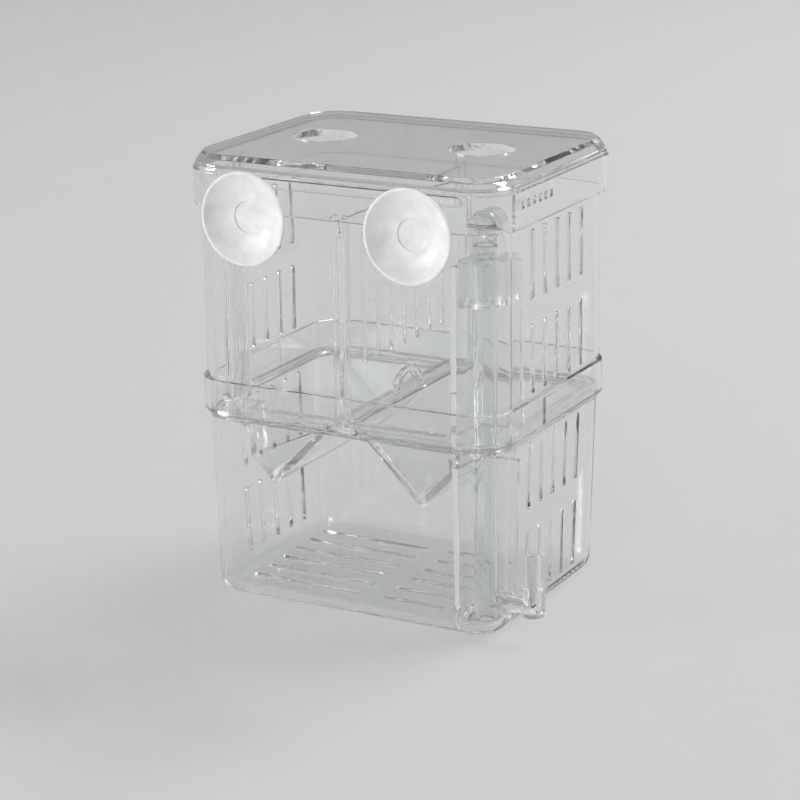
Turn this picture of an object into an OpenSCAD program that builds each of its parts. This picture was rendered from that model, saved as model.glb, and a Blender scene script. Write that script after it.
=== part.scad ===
// Two-storey clear breeding box that hangs inside an aquarium.
// The origin is the centre of the lower box's underside, +Z is up and the suction cups face -Y.

/* [Overall] */
// Outside width of the lid, which is the widest piece
lid_w = 100; // [92:1:120]
// Outside depth of the lid
lid_d = 80; // [76:1:100]
// Height from the underside of the lower box to the top of the lid
total_h = 130; // [126:1:150]
// Outside corner radius of the lid, which every smaller outline follows
corner_r = 13; // [12.5:0.25:15]
// Gap left between pieces that lift apart
lift_gap = 0.3; // [0.2:0.05:0.4]

/* [Lower box] */
// Height of the lower box with its collar
lower_h = 65.2; // [63:0.2:68]
// Wall thickness of the lower box
lower_wall = 1.6; // [1.2:0.1:1.8]
// Thickness of the floor
floor_t = 2; // [1.4:0.1:2.4]
// How far the foot of the lower box lies inside the lid's outline
foot_inset = 4.3; // [4:0.1:4.6]
// How far the top of the tapered wall lies inside the lid's outline
shoulder_inset = 2.8; // [2.6:0.1:3.2]
// Radius of the rounded edge between the wall and the floor
foot_fillet = 5; // [3.5:0.25:6]
// Height of the straight part of the collar
collar_h = 9.4; // [8:0.2:11]
// Height of the flare under the collar
flare_h = 2.2; // [1.4:0.2:3]
// How far the collar lies inside the lid's outline
collar_inset = 1.2; // [0.9:0.1:1.4]
// Wall thickness of the collar
collar_wall = 1.5; // [1.2:0.1:1.6]
// Width of the thumb pad on each side of the collar
pad_w = 20.3; // [12:0.5:30]
// Height of the thumb pads
pad_h = 7.6; // [5:0.2:8]
// How far the thumb pads stand out
pad_t = 0.6; // [0.3:0.1:0.9]
// Distance of the thumb pads below the top of the collar
pad_drop = 0.9; // [0.4:0.1:1.6]

/* [Upper box] */
// How far the upper box's wall lies inside the lid's outline
upper_inset = 2.15; // [2.05:0.05:2.4]
// Wall thickness of the upper box
upper_wall = 2; // [1.8:0.1:2.2]
// Depth of the spigot that plugs into the collar
spigot_h = 10.3; // [8.5:0.1:11]
// Height of the inward lip that carries the fry tray
lip_h = 1.1; // [0.8:0.1:1.6]
// Width of the inward lip
lip_w = 1.4; // [1:0.1:1.8]

/* [Water slots] */
// Width of every water slot
slot_w = 1.4; // [0.8:0.1:1.8]
// Spacing of the slots in the side walls
wall_slot_pitch = 7.8; // [5:0.2:8]
// Number of slots in each row of a side wall
wall_slot_count = 5; // [1:1:5]
// Length of the slots in the side walls
wall_slot_len = 19.6; // [10:0.2:20]
// Shift of the wall slots towards the back
wall_slot_y = 1; // [0:0.5:4]
// Height of the solid band between two rows of wall slots
slot_band = 6.8; // [5:0.2:9]
// Height of the solid wall under the lower box's lower row
lower_slot_z = 6.4; // [5.5:0.1:7]
// Height of the solid wall between the collar and the upper box's lower row
upper_slot_gap = 1.2; // [1:0.1:3]
// Spacing of the slots in the floor
floor_slot_pitch = 8.2; // [5:0.1:9]
// Number of rows of floor slots
floor_slot_rows = 6; // [2:2:6]
// Length of the long floor slots on the left
floor_slot_long = 36.5; // [20:0.5:37]
// Length of the short floor slots beside the riser chamber
floor_slot_short = 20.5; // [10:0.5:26]
// Distance of the floor slots from the middle of the box
floor_slot_gap = 3.4; // [2:0.1:5]

/* [Divider] */
// Thickness of the divider
divider_t = 1.2; // [1:0.1:1.6]
// Depth of the divider's top edge below the rim of the upper box
divider_drop = 11; // [8:0.5:20]
// Number of slots in the divider
divider_slots = 7; // [1:2:7]
// Spacing of the slots in the divider
divider_pitch = 7.7; // [5:0.1:8.5]
// Height of the solid band between the arch over the lifting loop and the slots
divider_band = 6.4; // [4:0.2:14]
// Height of the solid edge above the divider's slots
divider_edge = 6.2; // [4:0.2:8]
// How far the rails stand out from the front and back walls
rail_depth = 2; // [1.5:0.1:3]
// Thickness of each rib of a rail
rail_rib = 1.2; // [0.9:0.1:1.6]
// Play on each side of the divider in its rails
rail_play = 0.25; // [0.2:0.05:0.35]

/* [Fry tray] */
// Distance of each slit from the middle
slit_x = 23.4; // [22:0.2:25]
// Width of the slits that the fry drop through
slit_w = 2.2; // [1.6:0.1:3]
// Thickness of the sloping plates, measured upright
plate_t = 2.8; // [1.8:0.1:3.2]
// Thickness of the flange
flange_t = 1.3; // [1:0.1:1.6]
// Thickness of the end plates and of the walls round the corner notches
tray_wall = 1.6; // [1.2:0.1:2]
// Width of the ridge between the two troughs
ridge_w = 5.6; // [4:0.2:8]
// Thickness of the ridge
ridge_t = 2; // [1.6:0.1:2.4]
// Height of the ridge above the flange
ridge_rise = 0.6; // [0.2:0.1:1.2]
// Height of the lifting loop above the ridge
loop_h = 6.3; // [5:0.1:7]
// Outside radius of the lifting loop
loop_r = 8.7; // [8:0.1:10]
// Width of the lifting loop's band
loop_band = 1.8; // [1.4:0.1:2.4]
// Thickness of the lifting loop
loop_t = 2.6; // [1.6:0.1:3]
// Position of the lifting loop along the ridge
loop_y = 1.5; // [-4:0.5:4]

/* [Riser] */
// Distance of the riser's axis from the corner's axis, towards the right
riser_dx = 3.2; // [2.9:0.1:3.3]
// Distance of the riser's axis from the corner's axis, towards the front
riser_dy = 1.7; // [1.4:0.1:1.8]
// Outside diameter of the riser tube
riser_od = 6.4; // [6:0.1:6.5]
// Inside diameter of the riser tube
riser_id = 4.8; // [4:0.1:5]
// Height of the riser tube's foot above the floor
riser_foot = 2.6; // [2.4:0.1:3.4]
// Thickness of the chamber's partition
chamber_wall = 1.6; // [1.2:0.1:1.8]
// Width of the chamber between its partition and the riser's axis
chamber_w = 4.8; // [4.6:0.1:5]
// Depth of the chamber between its partition and the riser's axis
chamber_d = 7.1; // [6.6:0.1:7.4]
// Radius of the partition's rounded corner
chamber_r = 2.4; // [2:0.1:3]
// Depth of the chamber's top below the top of the lid
chamber_drop = 24.5; // [23:0.5:30]
// Length of the chamber's skirt below the upper box
chamber_skirt = 5.7; // [3:0.1:7]
// Radius of the water port at the chamber's foot
port_r = 2.6; // [2:0.1:3]
// Height of the water port's lowest point above the floor
port_rise = 0.6; // [0.2:0.1:1]

/* [Outlet cap and elbow] */
// Height of the cap
cap_h = 13.1; // [10:0.1:14]
// Height of the crown above the chamber
crown_h = 2.1; // [1.6:0.1:2.6]
// Number of flutes on each face of the cap that meets the partition
cap_flutes = 3; // [1:1:3]
// Spacing of the flutes, and distance of the crown's gaps from the riser's axis
flute_pitch = 2.6; // [2.2:0.1:2.8]
// Width of each flute
flute_w = 1.3; // [0.8:0.1:1.6]
// Width of each gap in the crown
crown_gap = 1.6; // [1:0.1:2]
// Running clearance on the riser tube's radius
tube_play = 0.05; // [0.02:0.01:0.08]
// Outside diameter of the elbow
elbow_od = 9.7; // [9:0.1:9.9]
// Outside diameter of the elbow's spout
spout_od = 9.4; // [8.6:0.1:9.6]
// Inside diameter of the elbow's spout
spout_id = 6.2; // [5:0.1:6.4]
// Length of the spout from the riser's axis
spout_l = 5.8; // [5.2:0.1:6]
// Height of the spout's axis above the cap
spout_rise = 8; // [7.2:0.1:8.6]
// Length of the riser tube that stands above the cap
riser_stub = 3.4; // [2:0.1:3.6]

/* [Air inlet] */
// Height of the air inlet's leg above the base
inlet_z = 10.5; // [9:0.1:14]
// Outside diameter of the leg
leg_od = 5.2; // [4.4:0.1:5.4]
// Inside diameter of the leg
leg_id = 3; // [2:0.1:3.4]
// Distance of the upright part from the lid's outline
inlet_out = 4.9; // [4:0.1:9]
// Outside diameter of the upright part
inlet_od = 6.2; // [5.6:0.1:7]
// Height of the upright part
inlet_h = 8.4; // [7:0.1:10]
// Outside diameter of the nipple that takes the air hose
nipple_od = 4.8; // [4:0.1:5.2]
// Inside diameter of the nipple
nipple_id = 2.6; // [1.8:0.1:3]
// Length of the nipple
nipple_l = 9.6; // [7:0.2:14]

/* [Corner tube] */
// Outside diameter of the tube in the left corner
pipe_od = 7.3; // [6.5:0.1:7.6]
// Inside diameter of the tube in the left corner
pipe_id = 3.8; // [3:0.1:4.4]
// Distance of the tube's axis from the corner's axis, towards the right
pipe_dx = 1.7; // [1.2:0.1:2]
// Distance of the tube's axis from the corner's axis, towards the front
pipe_dy = 5.4; // [5.3:0.05:5.6]
// Length of the tube
pipe_l = 51.5; // [40:0.5:56]
// Height of the tube's foot above the tray's flange
pipe_gap = 2.6; // [1:0.1:4]

/* [Suction cups] */
// Diameter of a suction cup
cup_d = 26.2; // [22:0.2:28]
// Distance of each cup's axis from the side of the lid
cup_inset = 24.7; // [23:0.1:28]
// Depth of the cups' axis below the top of the lid
cup_drop = 15.5; // [15:0.1:16.5]
// Depth of the cup's bell behind its rim
cup_depth = 3.5; // [2.5:0.1:4.5]
// Thickness of the cup in its middle
cup_t = 1; // [0.8:0.1:1.4]
// Thickness of the cup at its rim
cup_edge = 0.5; // [0.4:0.1:0.8]
// Width of the flat rim that meets the glass
cup_rim_w = 0.7; // [0.5:0.1:1.2]
// Diameter of the shallow disc in the cup's middle
cup_disc_d = 8.8; // [6:0.2:10]
// Diameter of a cup's neck
neck_d = 4.4; // [3.6:0.1:4.8]
// Diameter of the button inside the wall
button_d = 7.2; // [6:0.1:8]
// Length of the button
button_l = 2.3; // [1.8:0.1:2.8]

/* [Lid] */
// Height of the lid's skirt with its bevel
skirt_h = 14.85; // [13:0.05:16]
// Wall thickness of the lid's skirt
skirt_wall = 1.75; // [1.5:0.05:1.75]
// Thickness of the lid's top
lid_t = 2; // [1.6:0.1:2.4]
// Width of the bevel round the lid's top
bevel_w = 3.1; // [2.8:0.1:3.4]
// Height of the bevel round the lid's top
bevel_h = 4.7; // [4.4:0.1:5]
// Radius of the two finger holes
finger_r = 9.2; // [7:0.1:10]
// Distance of each finger hole's axis from the side of the lid
finger_inset = 25.1; // [23:0.1:30]
// Length of the raised strip on the front of the skirt
strip_l = 61.5; // [30:0.5:62]
// Height of the raised strip
strip_h = 2.4; // [1.4:0.1:2.4]
// Position of the strip's middle
strip_x = 8.2; // [0:0.1:8.4]
// Height of the strip's middle above the lower edge of the skirt
strip_rise = 8.75; // [7:0.05:8.8]
// How far the strip and the grip ribs stand out
grip_t = 0.45; // [0.3:0.05:0.6]
// Number of grip ribs on each side of the skirt
rib_count = 6; // [2:1:6]
// Spacing of the grip ribs
rib_pitch = 3.5; // [2.5:0.1:3.6]
// Width of each grip rib
rib_w = 1.1; // [0.8:0.1:1.6]
// Height of each grip rib
rib_h = 2.4; // [1.6:0.1:3]
// Height of the grip ribs' middle above the lower edge of the skirt
rib_rise = 5.7; // [4:0.1:7]
// Position of the middle of the grip ribs from front to back
rib_y = -17; // [-18:0.5:10]

/* [Hidden] */
$fn = 48;
far = 300;
clear = [0.8, 0.88, 0.92, 0.35];
milky = [0.94, 0.95, 0.93, 0.9];

corner_x = lid_w / 2 - corner_r;
corner_y = lid_d / 2 - corner_r;

shoulder_z = lower_h - collar_h - flare_h;
foot_r = corner_r - foot_inset;
shoulder_r = corner_r - shoulder_inset;
collar_r = corner_r - collar_inset;
pocket_r = collar_r - collar_wall;
inner_fillet = foot_fillet - lower_wall;

upper_seat = lower_h + lift_gap;
upper_bottom = upper_seat - spigot_h;
ledge_z = upper_bottom - lift_gap;
upper_r = corner_r - upper_inset;
upper_in_r = upper_r - upper_wall;
spigot_r = pocket_r - lift_gap;
lip_top = upper_bottom + lip_h;
lip_r = upper_in_r - lip_w;

lid_bottom = total_h - skirt_h;
lid_in_r = corner_r - skirt_wall;
lid_roof = total_h - lid_t;
bevel_step = 0.45;
step_rise = 0.5;
bevel_z = total_h - bevel_h;
roof_r = lid_in_r - 1.7;
finger_x = lid_w / 2 - finger_inset;
bevel_in_z = bevel_z + 0.7;
rim_z = bevel_in_z;

tray_z = lip_top + lift_gap;
flange_top = tray_z + flange_t;
ridge_z = flange_top + ridge_rise;
tray_r = upper_in_r - lift_gap;
trough_r = lip_r - lift_gap;
arm_x = corner_x + trough_r;
slit_in = slit_x - slit_w / 2;
slit_out = slit_x + slit_w / 2;
ridge_under = ridge_z - ridge_t;
trough_z = ridge_under - (slit_in - ridge_w / 2);
loop_z = ridge_z + loop_h - loop_r;

rail_x = divider_t / 2 + rail_play;
rail_y = corner_y + upper_in_r - rail_depth;
divider_top = rim_z - divider_drop;
divider_z = ridge_z + lift_gap;
divider_y = corner_y + tray_r;
rail_top = divider_top + 1.3;
arch_r = loop_r + 2 * lift_gap;
divider_slot_top = divider_top - divider_edge;
divider_slot_z = loop_z + arch_r + divider_band;

riser_x = corner_x + riser_dx;
riser_y = -corner_y - riser_dy;
riser_r = riser_od / 2;
chamber_x = riser_x - chamber_w;
chamber_y = riser_y + chamber_d;
chamber_top = total_h - chamber_drop;
skirt_z = upper_bottom - chamber_skirt;
cap_top = chamber_top + crown_h;
cap_z = cap_top - cap_h;
riser_top = cap_top + riser_stub;
spout_z = cap_top + spout_rise;
notch_gap = 0.5;
right_notch_x = chamber_x - chamber_wall - notch_gap;
right_notch_y = chamber_y + chamber_wall + notch_gap;

pipe_x = -corner_x + pipe_dx;
pipe_y = -corner_y - pipe_dy;
pipe_z = flange_top + pipe_gap;
left_notch_x = pipe_x + pipe_od / 2 + notch_gap;
left_notch_y = pipe_y + pipe_od / 2 + notch_gap;

inlet_x = lid_w / 2 + inlet_out;
leg_end_x = riser_x + riser_r + lift_gap;
cup_x = lid_w / 2 - cup_inset;
cup_z = total_h - cup_drop;
wall_y = corner_y + upper_in_r;
cup_back = lid_d / 2 + grip_t + 0.4;

function both_sides(points) =
    concat(points, [for (i = [len(points) - 1:-1:0]) [-points[i][0], points[i][1]]]);
function backwards(points) = [for (i = [len(points) - 1:-1:0]) points[i]];
function bell(r0, y0, r1, y1, steps) =
    [for (i = [0:steps]) let (t = i / steps) [r0 + (r1 - r0) * t, y0 + (y1 - y0) * 2 * (1 - cos(60 * t))]];
function arc(x, y, r, from, to, steps) =
    [for (i = [0:steps]) let (a = from + (to - from) * i / steps) [x + r * cos(a), y + r * sin(a)]];

// Flat outline of the box, given the radius of its corners
module outline(r) {
    square([2 * corner_x, 2 * (corner_y + r)], center = true);
    square([2 * (corner_x + r), 2 * corner_y], center = true);
    for (sx = [-1, 1], sy = [-1, 1])
        translate([sx * corner_x, sy * corner_y]) circle(r);
}

module block(r, z0, z1) {
    translate([0, 0, z0]) linear_extrude(z1 - z0) outline(r);
}

// Block with that outline whose corner radius follows a profile of [radius, height]
module shaped_block(profile) {
    bottom = profile[0][1];
    top = profile[len(profile) - 1][1];
    for (sx = [-1, 1], sy = [-1, 1])
        translate([sx * corner_x, sy * corner_y, 0])
            rotate_extrude() polygon(concat([[0, bottom]], profile, [[0, top]]));
    rotate([90, 0, 0]) linear_extrude(2 * corner_y, center = true)
        polygon(both_sides([for (p = profile) [corner_x + p[0], p[1]]]));
    rotate([90, 0, 90]) linear_extrude(2 * corner_x, center = true)
        polygon(both_sides([for (p = profile) [corner_y + p[0], p[1]]]));
}

// Bar with round ends, drawn upright in the XY plane
module slot_shape(length, width) {
    square([width, length - width], center = true);
    for (s = [-1, 1]) translate([0, s * (length - width) / 2]) circle(d = width);
}

// Rows of slots through the left and right walls, starting at height z
module wall_slots(z) {
    for (row = [0, 1], i = [0:wall_slot_count - 1])
        translate([0, wall_slot_y + (i - (wall_slot_count - 1) / 2) * wall_slot_pitch,
                z + wall_slot_len / 2 + row * (wall_slot_len + slot_band)])
            rotate([90, 0, 90]) linear_extrude(2 * lid_w, center = true)
                slot_shape(wall_slot_len, slot_w);
}

module floor_slot(x, y, length) {
    translate([x, y, -1]) rotate([0, 0, 90]) linear_extrude(floor_t + 2) slot_shape(length, slot_w);
}

// Everything in front of and to the right of a rounded corner at x, y
module corner_area(x, y, r) {
    translate([x, y - r - far]) square([far, far]);
    translate([x + r, y - far]) square([far, far]);
    translate([x + r, y - r]) circle(r);
}

// The riser chamber's partition between two heights
module partition(z0, z1) {
    translate([0, 0, z0]) linear_extrude(z1 - z0) difference() {
        corner_area(chamber_x - chamber_wall, chamber_y + chamber_wall, chamber_r);
        corner_area(chamber_x, chamber_y, chamber_r - chamber_wall);
    }
}

module lower_box() {
    foot_arc = arc(foot_r - foot_fillet, foot_fillet, foot_fillet, -90, 0, 6);
    inner_arc = arc(foot_r - foot_fillet, floor_t + inner_fillet, inner_fillet, -90, 0, 5);
    color(clear) difference() {
        union() {
            shaped_block(concat(foot_arc, [
                [shoulder_r, shoulder_z], [collar_r, shoulder_z + flare_h], [collar_r, lower_h]
            ]));
            for (side = [-1, 1])
                translate([side * (corner_x + collar_r), 0, lower_h - pad_drop - pad_h / 2])
                    cube([2 * pad_t, pad_w, pad_h], center = true);
        }
        difference() {
            shaped_block(concat(inner_arc, [
                [shoulder_r - lower_wall, shoulder_z], [shoulder_r - lower_wall, ledge_z + 0.5]
            ]));
            partition(0, skirt_z - lift_gap);
        }
        block(pocket_r, ledge_z, lower_h + 1);
        wall_slots(lower_slot_z);
        for (i = [0:floor_slot_rows - 1]) {
            y = (i - (floor_slot_rows - 1) / 2) * floor_slot_pitch;
            floor_slot(-floor_slot_gap - floor_slot_long / 2, y, floor_slot_long);
            floor_slot(floor_slot_gap + floor_slot_short / 2, y, floor_slot_short);
        }
        translate([riser_x, riser_y, inlet_z]) rotate([0, 90, 0])
            cylinder(d = leg_od + 2 * tube_play, h = far);
        translate([chamber_x - 2 * chamber_wall, riser_y, floor_t + port_r + port_rise]) rotate([0, 90, 0])
            cylinder(r = port_r, h = 3 * chamber_wall);
    }
}

module upper_box() {
    color(clear) difference() {
        union() {
            block(upper_r, upper_seat, rim_z);
            block(spigot_r, upper_bottom, upper_seat + 1);
            translate([0, 0, skirt_z]) linear_extrude(chamber_skirt + lip_h) intersection() {
                outline(trough_r);
                difference() {
                    corner_area(chamber_x - chamber_wall, chamber_y + chamber_wall, chamber_r);
                    corner_area(chamber_x, chamber_y, chamber_r - chamber_wall);
                }
            }
        }
        difference() {
            union() {
                block(upper_in_r, lip_top, rim_z + 1);
                block(lip_r, upper_bottom - 1, lip_top + 1);
            }
            partition(skirt_z - 1, chamber_top);
            for (side = [-1, 1], end = [-1, 1])
                translate([side * (rail_x + rail_rib / 2), end * (rail_y + rail_depth), 0])
                    translate([-rail_rib / 2, -rail_depth, lip_top])
                        cube([rail_rib, 2 * rail_depth, rail_top - lip_top]);
            translate([pipe_x, pipe_y, pipe_z]) cylinder(d = pipe_od, h = pipe_l);
        }
        translate([pipe_x, pipe_y, pipe_z - 1]) cylinder(d = pipe_id, h = pipe_l + 2);
        wall_slots(upper_seat + upper_slot_gap);
        for (side = [-1, 1])
            translate([side * cup_x, 0, cup_z]) rotate([90, 0, 0])
                cylinder(d = neck_d + 2 * tube_play, h = far);
    }
}

module lid() {
    step_r = corner_r - bevel_step;
    color(clear) difference() {
        union() {
            shaped_block([
                [corner_r, lid_bottom], [corner_r, bevel_z],
                [step_r, bevel_z + step_rise], [step_r, bevel_z + 2 * step_rise],
                [step_r - bevel_step, bevel_z + 3 * step_rise],
                [step_r - bevel_step, bevel_z + 4 * step_rise],
                [corner_r - bevel_w, total_h]
            ]);
            translate([strip_x, 0, lid_bottom + strip_rise]) rotate([90, 0, 0]) rotate([0, 0, 90])
                linear_extrude(lid_d / 2 + grip_t) slot_shape(strip_l, strip_h);
            for (side = [-1, 1], i = [0:rib_count - 1])
                translate([side * lid_w / 2, rib_y + (i - (rib_count - 1) / 2) * rib_pitch,
                        lid_bottom + rib_rise])
                    cube([2 * grip_t, rib_w, rib_h], center = true);
        }
        shaped_block([
            [lid_in_r, lid_bottom - 1], [lid_in_r, bevel_in_z], [roof_r, lid_roof]
        ]);
        for (side = [-1, 1]) {
            translate([side * finger_x, 0, lid_roof - 1]) cylinder(r = finger_r, h = lid_t + 2);
            translate([side * cup_x, 0, cup_z]) rotate([90, 0, 0])
                cylinder(r = neck_d / 2 + 2 * lift_gap, h = far);
        }
    }
}

// Everything beyond x and in front of y, on the left (side -1) or the right (side 1)
module notch_area(side, x, y) {
    mirror([side < 0 ? 1 : 0, 0, 0]) translate([abs(x), y - far, 0]) cube([far, far, far]);
}

module fry_tray() {
    inner_run = (slit_in - ridge_w / 2) / (ridge_under - trough_z);
    outer_run = (arm_x - slit_out) / (tray_z - trough_z);
    ridge_top_x = slit_in - inner_run * (ridge_z - trough_z - plate_t);
    arm_top_x = slit_out + outer_run * (flange_top - trough_z - plate_t);
    full_section = both_sides([
        [ridge_w / 2, ridge_under], [slit_in, trough_z], [slit_out, trough_z],
        [arm_x, tray_z], [arm_x, flange_top]
    ]);
    color(clear) difference() {
        union() {
            intersection() {
                rotate([90, 0, 0]) linear_extrude(lid_d, center = true) {
                    polygon(both_sides([
                        [ridge_w / 2, ridge_under], [slit_in, trough_z],
                        [slit_in, trough_z + plate_t], [ridge_top_x, ridge_z]
                    ]));
                    for (m = [0, 1]) mirror([m, 0]) polygon([
                        [slit_out, trough_z], [arm_x, tray_z], [arm_x, flange_top],
                        [arm_top_x, flange_top], [slit_out, trough_z + plate_t]
                    ]);
                }
                block(trough_r, 0, total_h);
            }
            intersection() {
                rotate([90, 0, 0]) linear_extrude(lid_d, center = true) polygon(full_section);
                linear_extrude(total_h) intersection() {
                    outline(trough_r);
                    union() {
                        difference() {
                            square([2 * lid_w, 2 * lid_d], center = true);
                            outline(trough_r - tray_wall);
                        }
                        difference() {
                            translate([right_notch_x - tray_wall, right_notch_y + tray_wall - far])
                                square([far, far]);
                            translate([right_notch_x, right_notch_y - far]) square([far, far]);
                        }
                        difference() {
                            translate([left_notch_x + tray_wall - far, left_notch_y + tray_wall - far])
                                square([far, far]);
                            translate([left_notch_x - far, left_notch_y - far]) square([far, far]);
                        }
                    }
                }
            }
            difference() {
                block(tray_r, tray_z, flange_top);
                block(trough_r - tray_wall, tray_z - 1, flange_top + 1);
            }
            intersection() {
                translate([0, loop_y, loop_z]) rotate([0, 90, 0]) difference() {
                    cylinder(r = loop_r, h = loop_t, center = true);
                    cylinder(r = loop_r - loop_band, h = 2 * loop_t, center = true);
                }
                translate([-loop_t, loop_y - loop_r, ridge_z - ridge_t / 2])
                    cube([2 * loop_t, 2 * loop_r, 2 * loop_r]);
            }
        }
        notch_area(1, right_notch_x, right_notch_y);
        notch_area(-1, left_notch_x, left_notch_y);
        for (end = [-1, 1])
            translate([0, end * (rail_y - notch_gap + far / 2), tray_z])
                cube([2 * (rail_x + rail_rib + notch_gap), far, 4 * flange_t], center = true);
    }
}

module divider() {
    color(clear) difference() {
        translate([-divider_t / 2, -divider_y, divider_z])
            cube([divider_t, 2 * divider_y, divider_top - divider_z]);
        translate([0, loop_y, loop_z]) rotate([0, 90, 0])
            cylinder(r = arch_r, h = 4 * divider_t, center = true);
        for (i = [0:divider_slots - 1])
            translate([0, (i - (divider_slots - 1) / 2) * divider_pitch,
                    (divider_slot_top + divider_slot_z) / 2])
                rotate([90, 0, 90]) linear_extrude(4 * divider_t, center = true)
                    slot_shape(divider_slot_top - divider_slot_z, slot_w);
    }
}

module riser_tube() {
    foot_z = floor_t + riser_foot;
    color(clear) difference() {
        translate([riser_x, riser_y, foot_z]) cylinder(d = riser_od, h = riser_top - foot_z);
        translate([riser_x, riser_y, foot_z - 1]) cylinder(d = riser_id, h = total_h);
        translate([riser_x, riser_y, inlet_z]) rotate([0, 90, 0]) cylinder(d = leg_id, h = riser_od);
    }
}

module riser_cap() {
    face_x = chamber_x + lift_gap;
    face_y = chamber_y - lift_gap;
    color(clear) difference() {
        translate([0, 0, cap_z]) linear_extrude(cap_h) intersection() {
            outline(upper_in_r - lift_gap);
            translate([face_x, face_y - far]) square([far, far]);
        }
        translate([riser_x, riser_y, cap_z - 1])
            cylinder(d = riser_od + 2 * tube_play, h = cap_h + 2);
        for (i = [1:cap_flutes]) {
            shift = (i - (cap_flutes + 1) / 2) * flute_pitch;
            translate([face_x, riser_y + shift, cap_z - 1]) cylinder(d = flute_w, h = cap_h + 2);
            translate([riser_x + shift, face_y, cap_z - 1]) cylinder(d = flute_w, h = cap_h + 2);
        }
        for (side = [-1, 1])
            translate([riser_x + side * flute_pitch, -corner_y - upper_in_r, cap_top])
                cube([crown_gap, upper_in_r, 1.5 * crown_h], center = true);
    }
}

module outlet_elbow() {
    elbow_r = elbow_od / 2;
    bore_r = riser_od / 2 + tube_play;
    elbow_z = cap_top + lift_gap;
    color(clear) translate([riser_x, riser_y, 0]) difference() {
        union() {
            translate([0, 0, elbow_z]) cylinder(r = elbow_r, h = spout_z - elbow_z);
            translate([0, 0, spout_z]) sphere(r = elbow_r);
            translate([0, 0, spout_z]) rotate([-90, 0, 0]) cylinder(d = spout_od, h = spout_l);
        }
        translate([0, 0, elbow_z - 1]) cylinder(r = bore_r, h = spout_z - elbow_z + 1);
        translate([0, 0, spout_z]) rotate([-90, 0, 0])
            cylinder(d = spout_id, h = spout_l + spout_id);
    }
}

module air_inlet() {
    body_z = inlet_z - inlet_od / 2 + 0.2;
    body_top = body_z + inlet_h;
    color(clear) difference() {
        union() {
            translate([leg_end_x, riser_y, inlet_z]) rotate([0, 90, 0])
                cylinder(d = leg_od, h = inlet_x - leg_end_x);
            translate([inlet_x, riser_y, body_z]) cylinder(d = inlet_od, h = inlet_h);
            translate([inlet_x, riser_y, body_top - 1]) cylinder(d = nipple_od, h = nipple_l + 1);
        }
        translate([leg_end_x - 1, riser_y, inlet_z]) rotate([0, 90, 0])
            cylinder(d = leg_id, h = inlet_x - leg_end_x + 1);
        translate([inlet_x, riser_y, inlet_z]) cylinder(d = nipple_id, h = far);
    }
}

// Suction cup that spins about its neck, with its rim towards -Y
module suction_cup(x) {
    neck_r = neck_d / 2;
    button_r = button_d / 2;
    cup_r = cup_d / 2;
    button_y = wall_y - lift_gap;
    hub_y = cup_back + cup_edge / 2;
    rim_y = hub_y + cup_depth + cup_edge;
    hub_r = cup_disc_d / 2 + cup_edge;
    cavity_r = cup_disc_d / 2;
    cavity_y = hub_y + cup_t;
    recess_y = cavity_y - 0.3;
    button_end = button_y - button_l;
    back = bell(hub_r, hub_y, cup_r, hub_y + cup_depth, 8);
    front = backwards(bell(cavity_r, cavity_y, cup_r - cup_rim_w, rim_y, 8));
    color(milky) translate([x, 0, cup_z]) rotate([90, 0, 0]) rotate_extrude() polygon(concat(
        [[0, button_end], [button_r - 1, button_end], [button_r, button_end + 1], [button_r, button_y],
         [neck_r, button_y], [neck_r, cup_back], [hub_r, cup_back]],
        back, [[cup_r, rim_y]], front, [[cavity_r, recess_y], [0, recess_y]]
    ));
}

module left_suction_cup() suction_cup(-cup_x);

module right_suction_cup() suction_cup(cup_x);

lower_box();
upper_box();
lid();
fry_tray();
divider();
riser_tube();
riser_cap();
outlet_elbow();
air_inlet();
left_suction_cup();
right_suction_cup();
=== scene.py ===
"""Clear two-storey fish breeding box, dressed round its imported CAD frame, as an add-on."""

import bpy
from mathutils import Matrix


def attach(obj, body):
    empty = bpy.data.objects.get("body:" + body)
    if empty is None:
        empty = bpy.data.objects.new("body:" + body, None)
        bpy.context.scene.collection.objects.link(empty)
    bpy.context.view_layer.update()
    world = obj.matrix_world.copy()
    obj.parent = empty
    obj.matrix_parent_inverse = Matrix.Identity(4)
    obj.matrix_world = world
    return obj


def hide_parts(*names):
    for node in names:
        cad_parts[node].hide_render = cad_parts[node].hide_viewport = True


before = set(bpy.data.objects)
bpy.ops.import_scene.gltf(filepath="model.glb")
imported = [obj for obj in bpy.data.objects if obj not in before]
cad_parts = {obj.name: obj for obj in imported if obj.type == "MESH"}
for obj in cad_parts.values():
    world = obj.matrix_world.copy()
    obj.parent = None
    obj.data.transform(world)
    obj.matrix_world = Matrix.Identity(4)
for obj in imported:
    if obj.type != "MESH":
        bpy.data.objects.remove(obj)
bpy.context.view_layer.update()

from math import acos, cos, pi, radians, sin, tan

import bmesh
import bpy
from bpy.props import FloatProperty, FloatVectorProperty, IntProperty, PointerProperty
from bpy.types import Operator, Panel, PropertyGroup
from mathutils import Matrix, Vector

bl_info = {
    "name": "Fish Breeding Box",
    "version": (1, 0, 0),
    "blender": (4, 5, 0),
    "location": "View3D > Sidebar > Breeding Box",
    "description": "Finishes, soft cups, studio and camera for a clear breeding box",
    "category": "Object",
}

MM = 0.001
# Middle of the closed box, which the lamps face and the camera's place is measured from.
MIDDLE = Vector((0.0, 0.0, 65.0 * MM))
SENSOR_WIDTH_MM = 36.0

# A CAD node's triangles are merged over points, edges and turns smaller than these.
SAME_POINT = 0.004 * MM
SHORTEST_EDGE = 0.002 * MM
FLAT_TURN = radians(0.6)
# Edges of a moulding that turn further than this are rounded.
ROUNDED_TURN = radians(33)
ROUNDING_STEPS = 2
# Shading stays sharp at edges that turn further than these, on mouldings and on smooth sweeps.
MOULDING_TURN = radians(50)
SWEEP_TURN = radians(60)


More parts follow.
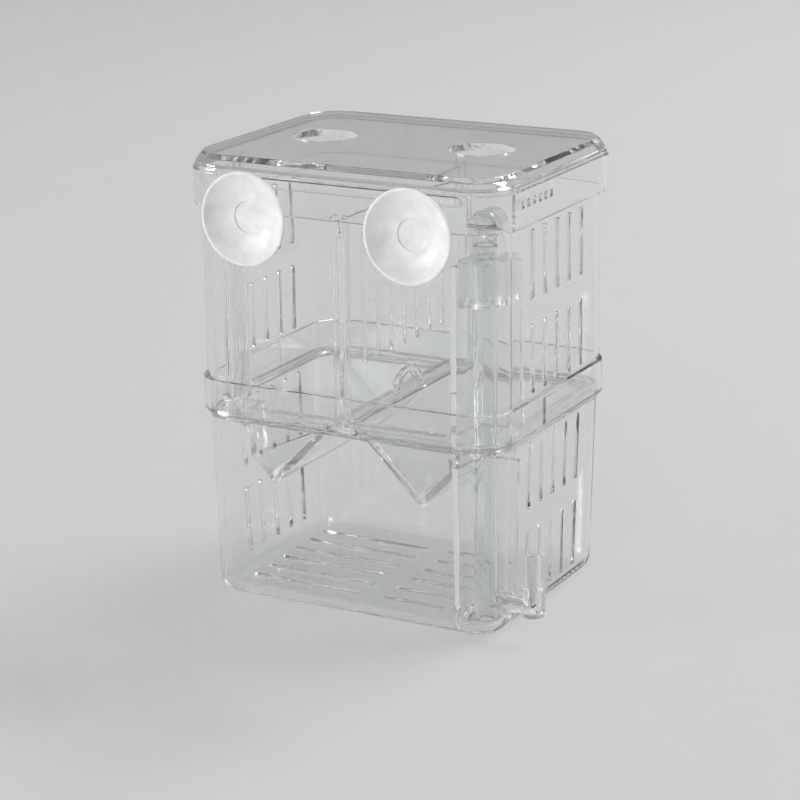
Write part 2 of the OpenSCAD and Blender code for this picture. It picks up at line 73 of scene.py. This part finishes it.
class PlasticSettings(PropertyGroup):
    """Sizes and colours of the clear mouldings."""
    tint: FloatVectorProperty(
        name="Tint", description="Colour of light that passes through the clear plastic",
        default=(0.970, 0.976, 0.976), min=0.0, max=1.0, subtype="COLOR")
    edge_round: FloatProperty(
        name="Edge rounding", description="Radius that the mould leaves on each sharp edge",
        default=0.22 * MM, min=0.0, max=MM, unit="LENGTH")
    index: FloatProperty(
        name="Refractive index", description="How strongly the plastic bends light",
        default=1.59, min=1.3, max=1.7)
    haze: FloatProperty(
        name="Haze", description="Roughness of the clean polished faces",
        default=0.02, min=0.0, max=0.3)


class GripSettings(PropertyGroup):
    """Row of finger ribs on each side of the lid."""
    count: IntProperty(name="Ribs", description="Ribs in each row", default=6, min=1, max=12)
    pitch: FloatProperty(
        name="Pitch", description="Distance from rib to rib",
        default=3.5 * MM, min=MM, unit="LENGTH")
    radius: FloatProperty(
        name="Radius", description="Radius of each half-round rib",
        default=1.0 * MM, unit="LENGTH")
    proud: FloatProperty(
        name="Proud", description="How far each rib stands out of the lid's side",
        default=0.45 * MM, unit="LENGTH")
    height: FloatProperty(
        name="Height", description="Height of each rib", default=2.0 * MM, unit="LENGTH")
    rise: FloatProperty(
        name="Rise", description="Height of the row's middle above the lid's lower edge",
        default=6.5 * MM, unit="LENGTH")
    middle: FloatProperty(
        name="Middle", description="Place of the row's middle from front to back",
        default=-17.0 * MM, unit="LENGTH")


class CupSettings(PropertyGroup):
    """Sizes and colours of the suction cups."""
    colour: FloatVectorProperty(
        name="Rubber colour", description="Milky colour of the soft cups",
        default=(0.89, 0.9, 0.89), min=0.0, max=1.0, subtype="COLOR")
    segments: IntProperty(
        name="Segments", description="Faces round a cup", default=96, min=24, max=192)
    neck: FloatProperty(
        name="Neck radius", description="Radius of the neck in the lid and the wall",
        default=2.2 * MM, unit="LENGTH")
    button: FloatProperty(
        name="Button radius", description="Radius of the button inside the wall",
        default=3.6 * MM, unit="LENGTH")
    disc: FloatProperty(
        name="Disc radius", description="Radius of the shallow disc in the cup's middle",
        default=4.4 * MM, unit="LENGTH")
    button_length: FloatProperty(
        name="Button length", description="Length of the button inside the wall",
        default=2.3 * MM, unit="LENGTH")
    recess: FloatProperty(
        name="Disc recess", description="Depth of the shallow disc",
        default=0.3 * MM, unit="LENGTH")
    edge: FloatProperty(
        name="Edge", description="Thickness of the bell at its rim",
        default=0.5 * MM, unit="LENGTH")
    rim_width: FloatProperty(
        name="Rim width", description="Width of the flat rim that meets the glass",
        default=0.7 * MM, unit="LENGTH")
    middle: FloatProperty(
        name="Middle", description="Thickness of the bell in its middle",
        default=MM, unit="LENGTH")
    depth: FloatProperty(
        name="Depth", description="Depth of the bell behind its rim",
        default=4.0 * MM, unit="LENGTH")
    back: FloatProperty(
        name="Back", description="Distance from the rim to the flat back of the bell",
        default=4.25 * MM, unit="LENGTH")


class StageSettings(PropertyGroup):
    """The studio round the box."""
    floor_colour: FloatVectorProperty(
        name="Floor colour", description="Colour of the floor and the backdrop",
        default=(0.66, 0.665, 0.67), min=0.0, max=1.0, subtype="COLOR")
    sweep: FloatProperty(
        name="Sweep radius", description="Radius between the floor and the backdrop",
        default=1.2, min=0.1, unit="LENGTH")
    azimuth: FloatProperty(
        name="Azimuth", description="Direction of the camera round the box",
        default=radians(28.51), subtype="ANGLE")
    elevation: FloatProperty(
        name="Elevation", description="Height of the camera above the horizon",
        default=radians(16.59), subtype="ANGLE")
    roll: FloatProperty(
        name="Roll", description="Tilt of the picture", default=radians(-0.72), subtype="ANGLE")
    distance: FloatProperty(
        name="Distance", description="Distance of the camera from the box's middle",
        default=735.19 * MM, unit="LENGTH")
    lens: FloatProperty(
        name="Lens", description="Focal length on a 36 mm wide sensor", default=115.09, min=10.0)


class Number:
    """Value socket of a node tree, with arithmetic that adds the Math nodes."""

    def __init__(self, shader, socket):
        self.shader = shader
        self.socket = socket

    def _maths(self, operation, first, second):
        node = self.shader.node("ShaderNodeMath", {"operation": operation}, {0: first, 1: second})
        return Number(self.shader, node.outputs[0])

    def __add__(self, other):
        return self._maths("ADD", self, other)

    def __radd__(self, other):
        return self._maths("ADD", other, self)

    def __sub__(self, other):
        return self._maths("SUBTRACT", self, other)

    def __rsub__(self, other):
        return self._maths("SUBTRACT", other, self)

    def __mul__(self, other):
        return self._maths("MULTIPLY", self, other)

    def __rmul__(self, other):
        return self._maths("MULTIPLY", other, self)

    def larger(self, other):
        return self._maths("MAXIMUM", self, other)

    def clamped(self):
        return self._maths("MINIMUM", self.larger(0.0), 1.0)


class NodeTree:
    """Node tree that is filled through a single generic method."""

    def __init__(self, tree):
        self.tree = tree

    def node(self, kind, settings=None, inputs=None):
        """Add a node with its settings, then each socket's value, link or list of links."""
        made = self.tree.nodes.new(kind)
        for name, value in (settings or {}).items():
            setattr(made, name, value)
        for name, value in (inputs or {}).items():
            for single in value if isinstance(value, list) else [value]:
                if isinstance(single, Number):
                    single = single.socket
                if isinstance(single, bpy.types.NodeSocket):
                    self.tree.links.new(single, made.inputs[name])
                else:
                    made.inputs[name].default_value = single
        return made


class Shader(NodeTree):
    """Node tree of one material."""

    def __init__(self, name):
        self.material = bpy.data.materials.new(name)
        self.material.use_nodes = True
        super().__init__(self.material.node_tree)
        self.tree.nodes.clear()

    def number(self, node, output):
        return Number(self, node.outputs[output])

    def noise(self, scale, detail, stretch=(1.0, 1.0, 1.0)):
        coordinates = self.node("ShaderNodeTexCoord")
        place = self.node("ShaderNodeMapping", None, {
            "Vector": coordinates.outputs["Object"], "Scale": stretch})
        texture = self.node("ShaderNodeTexNoise", None, {
            "Vector": place.outputs[0], "Scale": scale, "Detail": detail})
        return self.number(texture, "Fac")

    def mix(self, factor, first, second):
        made = self.node("ShaderNodeMix", {"data_type": "RGBA"}, {0: factor, 6: first, 7: second})
        return made.outputs[2]

    def bump(self, height, distance, strength):
        made = self.node("ShaderNodeBump", None, {
            "Height": height, "Distance": distance, "Strength": strength})
        return made.outputs[0]

    def finish(self, surface):
        self.node("ShaderNodeOutputMaterial", None, {"Surface": surface.outputs[0]})
        return self.material


def opaque(colour):
    return (*colour, 1.0)


def darker(colour, share):
    return [channel * share for channel in colour]


class Shape(NodeTree):
    """Geometry node tree with named inputs, applied to a mesh and left as a plain mesh."""

    KINDS = {int: "NodeSocketInt", float: "NodeSocketFloat",
             bpy.types.Material: "NodeSocketMaterial"}

    def __init__(self, name, values):
        super().__init__(bpy.data.node_groups.new(name, "GeometryNodeTree"))
        self.values = values
        interface = self.tree.interface
        interface.new_socket("Geometry", in_out="INPUT", socket_type="NodeSocketGeometry")
        self.identifiers = {}
        for label, value in values.items():
            socket = interface.new_socket(
                label, in_out="INPUT", socket_type=self.KINDS[type(value)])
            self.identifiers[label] = socket.identifier
        interface.new_socket("Geometry", in_out="OUTPUT", socket_type="NodeSocketGeometry")
        self.inputs = self.node("NodeGroupInput").outputs

    def number(self, label):
        return Number(self, self.inputs[label])

    def finish(self, geometry):
        real = self.node("GeometryNodeRealizeInstances", None, {"Geometry": geometry})
        coated = self.node("GeometryNodeSetMaterial", None, {
            "Geometry": real.outputs[0], "Material": self.inputs["Material"]})
        self.node("NodeGroupOutput", None, {"Geometry": coated.outputs[0]})

    def applied(self, mesh):
        host = in_scene("host", mesh)
        modifier = host.modifiers.new("shape", "NODES")
        modifier.node_group = self.tree
        for label, value in self.values.items():
            modifier[self.identifiers[label]] = value
        return plain_mesh(host)


def plain_mesh(host):
    """Mesh of an object with its modifiers applied; the object and its own mesh are removed."""
    source = host.data
    evaluated = host.evaluated_get(bpy.context.evaluated_depsgraph_get())
    made = bpy.data.meshes.new_from_object(evaluated)
    bpy.data.objects.remove(host)
    bpy.data.meshes.remove(source)
    return made


def clear_plastic(name, tint, haze, index):
    """Polished clear moulding: faint flow waves, a few fine scratches and a trace of haze.

    Soft light and shadows go straight through, so that the floor under the box stays pale.
    """
    shader = Shader(name)
    scratch_start, scratch_contrast, scratch_haze = 0.62, 2.0, 0.15
    flow = shader.noise(scale=34.0, detail=1.0, stretch=(1.0, 1.0, 0.35))
    streaks = shader.noise(scale=260.0, detail=1.0, stretch=(1.0, 9.0, 1.0))
    scratch = (streaks - scratch_start).clamped() * scratch_contrast
    glass = shader.node("ShaderNodeBsdfPrincipled", None, {
        "Base Color": shader.mix(flow, opaque(tint), opaque(darker(tint, share=0.985))),
        "Roughness": haze + scratch * scratch_haze, "IOR": index, "Transmission Weight": 1.0,
        "Normal": shader.bump(flow, distance=0.01 * MM, strength=0.3)})
    open_way = shader.node("ShaderNodeBsdfTransparent", None, {
        "Color": opaque((0.95, 0.953, 0.953))})
    rays = shader.node("ShaderNodeLightPath")
    soft_light = shader.number(rays, "Is Shadow Ray").larger(shader.number(rays, "Is Diffuse Ray"))
    return shader.finish(shader.node("ShaderNodeMixShader", None, {
        0: soft_light, 1: glass.outputs[0], 2: open_way.outputs[0]}))


def milky_rubber(name, colour):
    """Soft milky rubber with a satin skin, faint clouds and a fine grain."""
    shader = Shader(name)
    cloud_start, cloud_contrast = 0.36, 3.2
    satin, cloud_haze, grain_haze = 0.3, 0.1, 0.06
    cloud = ((shader.noise(scale=260.0, detail=5.0) - cloud_start) * cloud_contrast).clamped()
    grain = shader.noise(scale=2600.0, detail=1.0)
    return shader.finish(shader.node("ShaderNodeBsdfPrincipled", None, {
        "Base Color": shader.mix(cloud, opaque(colour), opaque(darker(colour, share=0.87))),
        "Roughness": satin + cloud * cloud_haze + grain * grain_haze, "IOR": 1.45,
        "Subsurface Weight": 0.2, "Subsurface Radius": (1.0, 1.0, 1.0),
        "Subsurface Scale": 1.2 * MM,
        "Normal": shader.bump(grain, distance=0.02 * MM, strength=0.4)}))


def studio_grey(name, colour):
    """Matt pale grey of the floor and the backdrop, with faint flecks."""
    shader = Shader(name)
    fleck = shader.noise(scale=40.0, detail=2.0)
    return shader.finish(shader.node("ShaderNodeBsdfPrincipled", None, {
        "Base Color": shader.mix(fleck, opaque(colour), opaque(darker(colour, share=0.985))),
        "Roughness": 0.7, "Specular IOR Level": 0.2}))


def in_scene(name, data):
    made = bpy.data.objects.new(name, data)
    bpy.context.scene.collection.objects.link(made)
    return made


def object_from(name, mesh, material):
    made = in_scene(name, mesh)
    mesh.materials.clear()
    mesh.materials.append(material)
    return made


def facing_out(mesh):
    """Turn the faces of a closed mesh outwards."""
    form = bmesh.new()
    form.from_mesh(mesh)
    bmesh.ops.recalc_face_normals(form, faces=form.faces)
    form.to_mesh(mesh)
    form.free()


def smooth_by_angle(mesh, turn):
    """Smooth shading that stays sharp at edges that turn further."""
    mesh.shade_smooth()
    mesh.set_sharp_from_angle(angle=turn)


def merged_copy(node, flush_x=None):
    """Copy of a CAD node with its triangles merged into faces, kept within +-flush_x if given."""
    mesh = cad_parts[node].data.copy()
    form = bmesh.new()
    form.from_mesh(mesh)
    if flush_x:
        for point in form.verts:
            point.co.x = max(-flush_x, min(flush_x, point.co.x))
    bmesh.ops.remove_doubles(form, verts=form.verts, dist=SAME_POINT)
    bmesh.ops.dissolve_degenerate(form, edges=form.edges, dist=SHORTEST_EDGE)
    bmesh.ops.dissolve_limit(form, angle_limit=FLAT_TURN, verts=form.verts, edges=form.edges)
    form.to_mesh(mesh)
    form.free()
    return mesh


def rounded(mesh, name, radius):
    """Mesh with its sharp edges rounded and its shading led by its large flat faces."""
    form = bmesh.new()
    form.from_mesh(mesh)
    sharp = [edge for edge in form.edges
             if edge.is_manifold and edge.calc_face_angle(0.0) > ROUNDED_TURN]
    bmesh.ops.bevel(form, geom=sharp, offset=radius, offset_type="OFFSET",
                    segments=ROUNDING_STEPS, profile=0.5, affect="EDGES", clamp_overlap=False)
    form.to_mesh(mesh)
    form.free()
    smooth_by_angle(mesh, MOULDING_TURN)
    host = in_scene("host", mesh)
    shading = host.modifiers.new("flat_faces_lead", "WEIGHTED_NORMAL")
    shading.mode = "FACE_AREA"
    shading.weight = 100
    shading.keep_sharp = True
    made = plain_mesh(host)
    made.name = name
    return made


def dress(node, mesh, body, material):
    """Show a mesh in place of a CAD node, on that node's body."""
    piece = object_from(mesh.name, mesh, material)
    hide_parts(node)
    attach(piece, body)


def dress_clear(node, body, material, radius):
    dress(node, rounded(merged_copy(node), node + "_moulding", radius), body, material)


def clear_material(name, settings, tint_share=1.0):
    return clear_plastic(name, darker(settings.tint, tint_share), settings.haze, settings.index)


def node_box(node):
    """Lowest and highest corner of a CAD node."""
    points = [point.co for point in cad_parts[node].data.vertices]
    return (Vector([min(point[i] for point in points) for i in range(3)]),
            Vector([max(point[i] for point in points) for i in range(3)]))


def grip_rows(grip, side_x, lower_edge, material):
    """Tree that fuses a row of half-round finger ribs to each side of the lid."""
    shape = Shape("finger_ribs", {
        "Count": grip.count, "Pitch": grip.pitch, "Radius": grip.radius, "Height": grip.height,
        "Side": side_x, "Middle": grip.middle, "Rise": lower_edge + grip.rise,
        "Material": material})
    rib = shape.node("GeometryNodeMeshCylinder", None, {
        "Vertices": 20, "Radius": shape.inputs["Radius"], "Depth": shape.inputs["Height"]})
    half_row = (shape.number("Count") - 1.0) * 0.5 * shape.number("Pitch")
    first_y = shape.number("Middle") - half_row
    offset = shape.node("ShaderNodeCombineXYZ", None, {"Y": shape.inputs["Pitch"]})
    parts = [shape.inputs["Geometry"]]
    for side in (-1.0, 1.0):
        start = shape.node("ShaderNodeCombineXYZ", None, {
            "X": shape.number("Side") * side, "Y": first_y, "Z": shape.inputs["Rise"]})
        row = shape.node("GeometryNodeMeshLine", None, {
            "Count": shape.inputs["Count"], "Start Location": start.outputs[0],
            "Offset": offset.outputs[0]})
        ribs = shape.node("GeometryNodeInstanceOnPoints", None, {
            "Points": row.outputs[0], "Instance": rib.outputs[0]})
        parts.append(shape.node("GeometryNodeRealizeInstances", None, {
            "Geometry": ribs.outputs[0]}).outputs[0])
    fused = shape.node("GeometryNodeMeshBoolean", {"operation": "UNION", "solver": "EXACT"}, {
        "Mesh 2": parts})
    shape.finish(fused.outputs[0])
    return shape


def softened(corners):
    """Outline through [radius, height, softening] corners, each rounded by its softening."""
    steps, longest_share, nearly_straight = 4, 0.45, radians(165)
    points = [corners[0][:2]]
    for before, here, after in zip(corners, corners[1:], corners[2:]):
        spot = Vector(here[:2])
        back, ahead = Vector(before[:2]) - spot, Vector(after[:2]) - spot
        angle = acos(max(-1.0, min(1.0, back.normalized().dot(ahead.normalized()))))
        if here[2] == 0 or angle > nearly_straight:
            points.append(tuple(spot))
            continue
        reach = min(here[2] / tan(angle / 2), back.length * longest_share,
                    ahead.length * longest_share)
        start, end = spot + back.normalized() * reach, spot + ahead.normalized() * reach
        for i in range(steps + 1):
            along = i / steps
            points.append(tuple(start.lerp(spot, along).lerp(spot.lerp(end, along), along)))
    return points + [corners[-1][:2]]


def bell(start, end):
    """Curve from start, where it lies flat, to end, as [radius, height, softening] points.

    It is the first 60 degrees of a cosine wave.
    """
    steps, wave = 12, radians(60)
    width = end[0] - start[0]
    height = (end[1] - start[1]) / (1 - cos(wave))
    points = []
    for i in range(steps + 1):
        along = i / steps
        points.append((start[0] + width * along, start[1] + height * (1 - cos(wave * along)), 0))
    return points


def cup_outline(cups, radius, button_end, rim):
    """Half section of a cup, from the middle of its button to the middle of its bell."""
    # Softenings of the corners, from the finest to the roundest.
    fine, crisp, firm, soft, full = 0.15 * MM, 0.2 * MM, 0.25 * MM, 0.3 * MM, 0.8 * MM
    tip_inset, tip_height = 0.7 * MM, 0.9 * MM
    shoulder = cups.disc + cups.edge
    button_top = button_end + cups.button_length
    back = rim - cups.back
    hub = rim - cups.depth
    floor = hub + cups.middle
    disc = floor - cups.recess
    inner_rim = radius - cups.rim_width
    outside = bell((shoulder, hub), (radius, rim - cups.edge))
    inside = bell((cups.disc, floor), (inner_rim, rim))[::-1]
    return softened([
        (0.0, button_end, 0), (cups.button - tip_inset, button_end, full),
        (cups.button, button_end + tip_height, full), (cups.button, button_top, firm),
        (cups.neck, button_top, crisp), (cups.neck, back, soft), (shoulder, back, crisp),
        *outside[:-1], (radius, rim - cups.edge, fine), (radius, rim, crisp),
        (inner_rim, rim, crisp), *inside[1:-1],
        (cups.disc, floor, fine), (cups.disc - fine, disc, fine), (0.0, disc, 0)])


def lathe(name, outline, segments, material):
    """Closed round form about the Z axis, from [radius, height] points swept round a rail."""
    rail_radius, seam = MM, 0.001 * MM
    shape = Shape(name, {"Segments": segments, "Rail": rail_radius, "Material": material})
    section = shape.node("GeometryNodeMeshToCurve", None, {"Mesh": shape.inputs["Geometry"]})
    rail = shape.node("GeometryNodeCurvePrimitiveCircle", None, {
        "Resolution": shape.inputs["Segments"], "Radius": shape.inputs["Rail"]})
    level = shape.node("GeometryNodeSetCurveNormal", {"mode": "Z_UP"}, {"Curve": rail.outputs[0]})
    swept = shape.node("GeometryNodeCurveToMesh", None, {
        "Curve": level.outputs[0], "Profile Curve": section.outputs[0]})
    closed = shape.node("GeometryNodeMergeByDistance", None, {
        "Geometry": swept.outputs[0], "Distance": seam})
    shape.finish(closed.outputs[0])
    section_mesh = bpy.data.meshes.new("section")
    section_mesh.from_pydata([(radius - rail_radius, -height, 0.0) for radius, height in outline],
                             [(i, i + 1) for i in range(len(outline) - 1)], [])
    made = shape.applied(section_mesh)
    made.name = name
    return made


class BREEDING_OT_storeys(Operator):
    """Dress the lower box, the upper box and the divider"""
    bl_idname = "breeding.storeys"
    bl_label = "Storeys"

    def execute(self, context):
        plastic = context.scene.breeding_plastic
        material = clear_material("clear_box_plastic", plastic)
        parts = (("lower_box", "root"), ("upper_box", "upper_storey"),
                 ("divider", "divider_plate"))
        for node, body in parts:
            dress_clear(node, body, material, plastic.edge_round)
        return {"FINISHED"}


class BREEDING_OT_lid(Operator):
    """Dress the lid and fuse its finger ribs to it"""
    bl_idname = "breeding.lid"
    bl_label = "Lid"

    def execute(self, context):
        plastic = context.scene.breeding_plastic
        grip = context.scene.breeding_grip
        material = clear_material("clear_lid_plastic", plastic)
        low, high = node_box("lid")
        ribs = grip_rows(grip, high.x - grip.radius, low.z, material)
        ribbed = ribs.applied(merged_copy("lid", high.x - grip.proud))
        mesh = rounded(ribbed, "lid_moulding", plastic.edge_round)
        dress("lid", mesh, "cover", material)
        return {"FINISHED"}


class BREEDING_OT_tray(Operator):
    """Dress the fry tray"""
    bl_idname = "breeding.tray"
    bl_label = "Fry tray"

    def execute(self, context):
        plastic = context.scene.breeding_plastic
        material = clear_material("clear_tray_plastic", plastic, tint_share=0.99)
        dress_clear("fry_tray", "tray", material, plastic.edge_round)
        return {"FINISHED"}


class BREEDING_OT_riser(Operator):
    """Dress the riser tube, its cap, the outlet elbow and the air inlet"""
    bl_idname = "breeding.riser"
    bl_label = "Riser"

    def execute(self, context):
        plastic = context.scene.breeding_plastic
        material = clear_material("clear_tube_plastic", plastic, tint_share=0.98)
        parts = (("riser_tube", "upper_storey"), ("riser_cap", "upper_storey"),
                 ("outlet_elbow", "elbow"), ("air_inlet", "root"))
        for node, body in parts:
            dress_clear(node, body, material, plastic.edge_round)
        return {"FINISHED"}


class BREEDING_OT_cups(Operator):
    """Make the two suction cups"""
    bl_idname = "breeding.cups"
    bl_label = "Suction cups"

    def execute(self, context):
        cups = context.scene.breeding_cups
        material = milky_rubber("milky_cup_rubber", cups.colour)
        for side in ("left", "right"):
            node = side + "_suction_cup"
            low, high = node_box(node)
            radius, rim, button_end = (high.x - low.x) / 2, -low.y, -high.y
            outline = cup_outline(cups, radius, button_end, rim)
            mesh = lathe(side + "_cup_moulding", outline, cups.segments, material)
            place = Matrix.Translation(((low.x + high.x) / 2, 0.0, (low.z + high.z) / 2))
            mesh.transform(place @ Matrix.Rotation(radians(90), 4, "X"))
            facing_out(mesh)
            smooth_by_angle(mesh, SWEEP_TURN)
            dress(node, mesh, side + "_cup", material)
        return {"FINISHED"}


def camera_axes(stage):
    """Right, up and backward directions of the camera."""
    azimuth, elevation = stage.azimuth, stage.elevation
    level = cos(elevation)
    back = Vector((sin(azimuth) * level, -cos(azimuth) * level, sin(elevation)))
    right = Vector((0.0, 0.0, 1.0)).cross(back).normalized()
    up = back.cross(right)
    turned_right = cos(stage.roll) * right + sin(stage.roll) * up
    turned_up = cos(stage.roll) * up - sin(stage.roll) * right
    return turned_right, turned_up, back


def add_camera(stage):
    """Camera that sees the box as the photograph does."""
    slide_right, slide_up = -1.38 * MM, -10.03 * MM
    right, up, back = camera_axes(stage)
    data = bpy.data.cameras.new("camera")
    data.sensor_width = SENSOR_WIDTH_MM
    data.lens = stage.lens
    data.clip_start = 0.05
    camera = in_scene("camera", data)
    place = MIDDLE + back * stage.distance + right * slide_right + up * slide_up
    turn = Matrix((right, up, back)).transposed().to_4x4()
    camera.matrix_world = Matrix.Translation(place) @ turn
    bpy.context.scene.camera = camera


def add_softbox(name, place, size, watts):
    """Rectangular lamp that faces the middle of the box."""
    data = bpy.data.lights.new(name, "AREA")
    data.shape = "RECTANGLE"
    data.size, data.size_y = size
    data.energy = watts
    lamp = in_scene(name, data)
    away = (Vector(place) - MIDDLE).normalized()
    turn = away.to_track_quat("Z", "Y").to_matrix().to_4x4()
    lamp.matrix_world = Matrix.Translation(place) @ turn


def add_backdrop(stage):
    """Round floor that sweeps up into a wall on every side."""
    floor_radius, wall_height, floor_z = 2.8, 2.2, -0.3 * MM
    steps, rings = 16, 96
    profile = [(floor_radius, 0.0)]
    for step in range(1, steps + 1):
        angle = pi / 2 * step / steps
        profile.append((floor_radius + stage.sweep * sin(angle), stage.sweep * (1 - cos(angle))))
    profile.append((floor_radius + stage.sweep, wall_height))
    mesh = bpy.data.meshes.new("backdrop")
    form = bmesh.new()
    turns = [2 * pi * i / rings for i in range(rings)]
    loops = []
    for radius, height in profile:
        loops.append([form.verts.new((radius * cos(turn), radius * sin(turn), height + floor_z))
                      for turn in turns])
    form.faces.new(loops[0])
    for low, high in zip(loops, loops[1:]):
        for i in range(rings):
            form.faces.new((low[i], low[(i + 1) % rings], high[(i + 1) % rings], high[i]))
    bmesh.ops.recalc_face_normals(form, faces=form.faces)
    bmesh.ops.reverse_faces(form, faces=form.faces)
    form.to_mesh(mesh)
    form.free()
    smooth_by_angle(mesh, SWEEP_TURN)
    object_from("backdrop", mesh, studio_grey("studio_grey", stage.floor_colour))


def add_sky(scene):
    """Even soft light from above the backdrop."""
    world = bpy.data.worlds.new("studio")
    world.use_nodes = True
    sky = world.node_tree.nodes["Background"].inputs
    sky["Color"].default_value = opaque((0.91, 0.92, 0.93))
    sky["Strength"].default_value = 0.25
    scene.world = world


class BREEDING_OT_stage(Operator):
    """Make the floor, the lamps and the camera"""
    bl_idname = "breeding.stage"
    bl_label = "Stage"

    def execute(self, context):
        stage = context.scene.breeding_stage
        scene = context.scene
        scene.view_settings.view_transform = "Standard"
        # Light runs far inside the clear walls, and ends in black edges if it is cut short.
        scene.cycles.max_bounces = 40
        scene.cycles.transmission_bounces = 24
        scene.cycles.glossy_bounces = 32
        scene.cycles.transparent_max_bounces = 40
        add_sky(scene)
        add_softbox("key_softbox", place=(-1.75, -1.45, 0.37), size=(1.2, 0.7), watts=32.0)
        add_softbox("front_softbox", place=(0.5, -2.2, 1.6), size=(1.1, 0.7), watts=9.0)
        add_softbox("back_softbox", place=(0.9, 1.5, 2.4), size=(1.6, 0.9), watts=62.0)
        add_backdrop(stage)
        add_camera(stage)
        return {"FINISHED"}


class BREEDING_PT_panel(Panel):
    """Buttons for each group of pieces"""
    bl_label = "Breeding Box"
    bl_idname = "BREEDING_PT_panel"
    bl_space_type = "VIEW_3D"
    bl_region_type = "UI"
    bl_category = "Breeding Box"

    def draw(self, context):
        for operator in PIECES:
            self.layout.operator(operator.bl_idname)


PIECES = (BREEDING_OT_storeys, BREEDING_OT_lid, BREEDING_OT_tray, BREEDING_OT_riser,
          BREEDING_OT_cups, BREEDING_OT_stage)
SETTINGS = {"breeding_plastic": PlasticSettings, "breeding_grip": GripSettings,
            "breeding_cups": CupSettings, "breeding_stage": StageSettings}


def register():
    for made in (*SETTINGS.values(), *PIECES, BREEDING_PT_panel):
        bpy.utils.register_class(made)
    for name, made in SETTINGS.items():
        setattr(bpy.types.Scene, name, PointerProperty(type=made))


def unregister():
    for name in SETTINGS:
        delattr(bpy.types.Scene, name)
    for made in reversed((*SETTINGS.values(), *PIECES, BREEDING_PT_panel)):
        bpy.utils.unregister_class(made)


def main():
    register()
    for operator in PIECES:
        group, call = operator.bl_idname.split(".")
        getattr(getattr(bpy.ops, group), call)()


if __name__ == "__main__":
    main()
